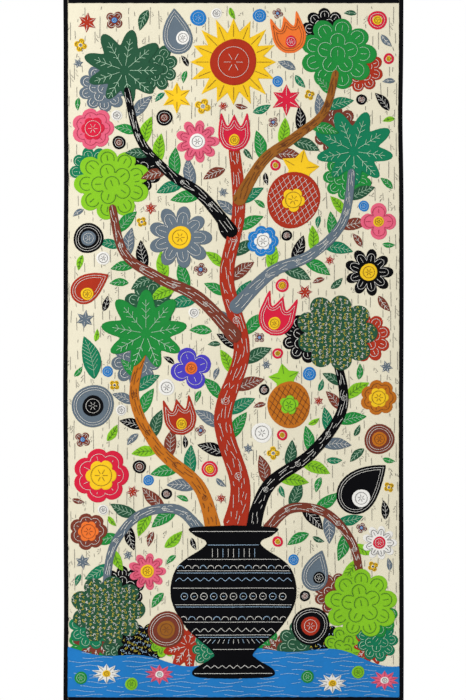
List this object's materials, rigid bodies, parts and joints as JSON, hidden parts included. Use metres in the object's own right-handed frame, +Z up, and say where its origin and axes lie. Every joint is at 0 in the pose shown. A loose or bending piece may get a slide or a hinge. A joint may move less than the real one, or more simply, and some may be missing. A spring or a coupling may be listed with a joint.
{
  "type": "applique wall hanging",
  "caption": "Upright cotton wall hanging with a folded dark edge binding, appliqued with a flowering tree in a vase and worked with hand stitches.",
  "frame": {"origin": "middle of the top edge, half way through the cloth, where the hanging is held", "axes": "+X to the viewer's right, +Z up along the hanging's height, -Y out of the worked face"},
  "size_m": [0.9016, 0.0157, 1.8605],
  "materials": {
    "cotton_cream": "matt plain-woven cotton",
    "cotton_black": "matt plain-woven cotton",
    "cotton_blue": "matt plain-woven cotton",
    "cotton_deep": "matt plain-woven cotton",
    "cotton_green": "matt plain-woven cotton",
    "cotton_jade": "matt plain-woven cotton",
    "cotton_lime": "matt plain-woven cotton",
    "cotton_rust": "matt plain-woven cotton",
    "cotton_brown": "matt plain-woven cotton",
    "cotton_ochre": "matt plain-woven cotton",
    "cotton_tan": "matt plain-woven cotton",
    "cotton_grey": "matt plain-woven cotton",
    "cotton_yellow": "matt plain-woven cotton",
    "cotton_violet": "matt plain-woven cotton",
    "cotton_pink": "matt plain-woven cotton",
    "cotton_crimson": "matt plain-woven cotton",
    "cotton_orange": "matt plain-woven cotton",
    "cotton_white": "matt plain-woven cotton"
  },
  "bodies": {
    "root": {"binding_bottom": "cotton_black", "binding_left": "cotton_black", "binding_right": "cotton_black", "binding_top": "cotton_black", "branch_left": "cotton_brown", "branch_right": "cotton_grey", "branch_top_left": "cotton_black", "branch_top_right": "cotton_ochre", "bud": "cotton_crimson", "clump_left": "cotton_green", "clump_low_left": "cotton_deep", "clump_low_right": "cotton_lime", "clump_mid_left": "cotton_lime", "clump_mid_right": "cotton_jade", "clump_right": "cotton_deep", "clump_top_left": "cotton_deep", "clump_top_right": "cotton_green", "coin_left": "cotton_grey", "coin_low": "cotton_brown", "coin_low_right": "cotton_black", "coin_mid_left": "cotton_black", "coin_mid_right": "cotton_brown", "daisy_left": "cotton_grey", "daisy_low_left": "cotton_pink", "daisy_low_right": "cotton_white", "daisy_right": "cotton_black", "daisy_upper": "cotton_pink", "fruit_right": "cotton_lime", "fruit_right_top": "cotton_tan", "fruit_upper": "cotton_yellow", "fruit_upper_top": "cotton_rust", "ground": "cotton_cream", "leaf_left": "cotton_jade", "paisley_left": "cotton_rust", "paisley_low": "cotton_grey", "paisley_right": "cotton_black", "paisley_top": "cotton_grey", "pool": "cotton_blue", "quatre_left": "cotton_violet", "quatre_right": "cotton_pink", "rose_left": "cotton_crimson", "rose_low_left": "cotton_brown", "rose_middle": "cotton_blue", "rose_right": "cotton_tan", "rose_upper": "cotton_pink", "star_upper_left": "cotton_yellow", "star_upper_right": "cotton_crimson", "stem_left": "cotton_tan", "stem_low_left": "cotton_grey", "stem_low_right": "cotton_brown", "stem_right": "cotton_black", "stem_trunk": "cotton_rust", "sun": "cotton_yellow", "sun_top": "cotton_rust", "tulip_left": "cotton_rust", "tulip_right": "cotton_crimson", "tulip_top": "cotton_orange", "vase": "cotton_black"}
  },
  "joints": []
}
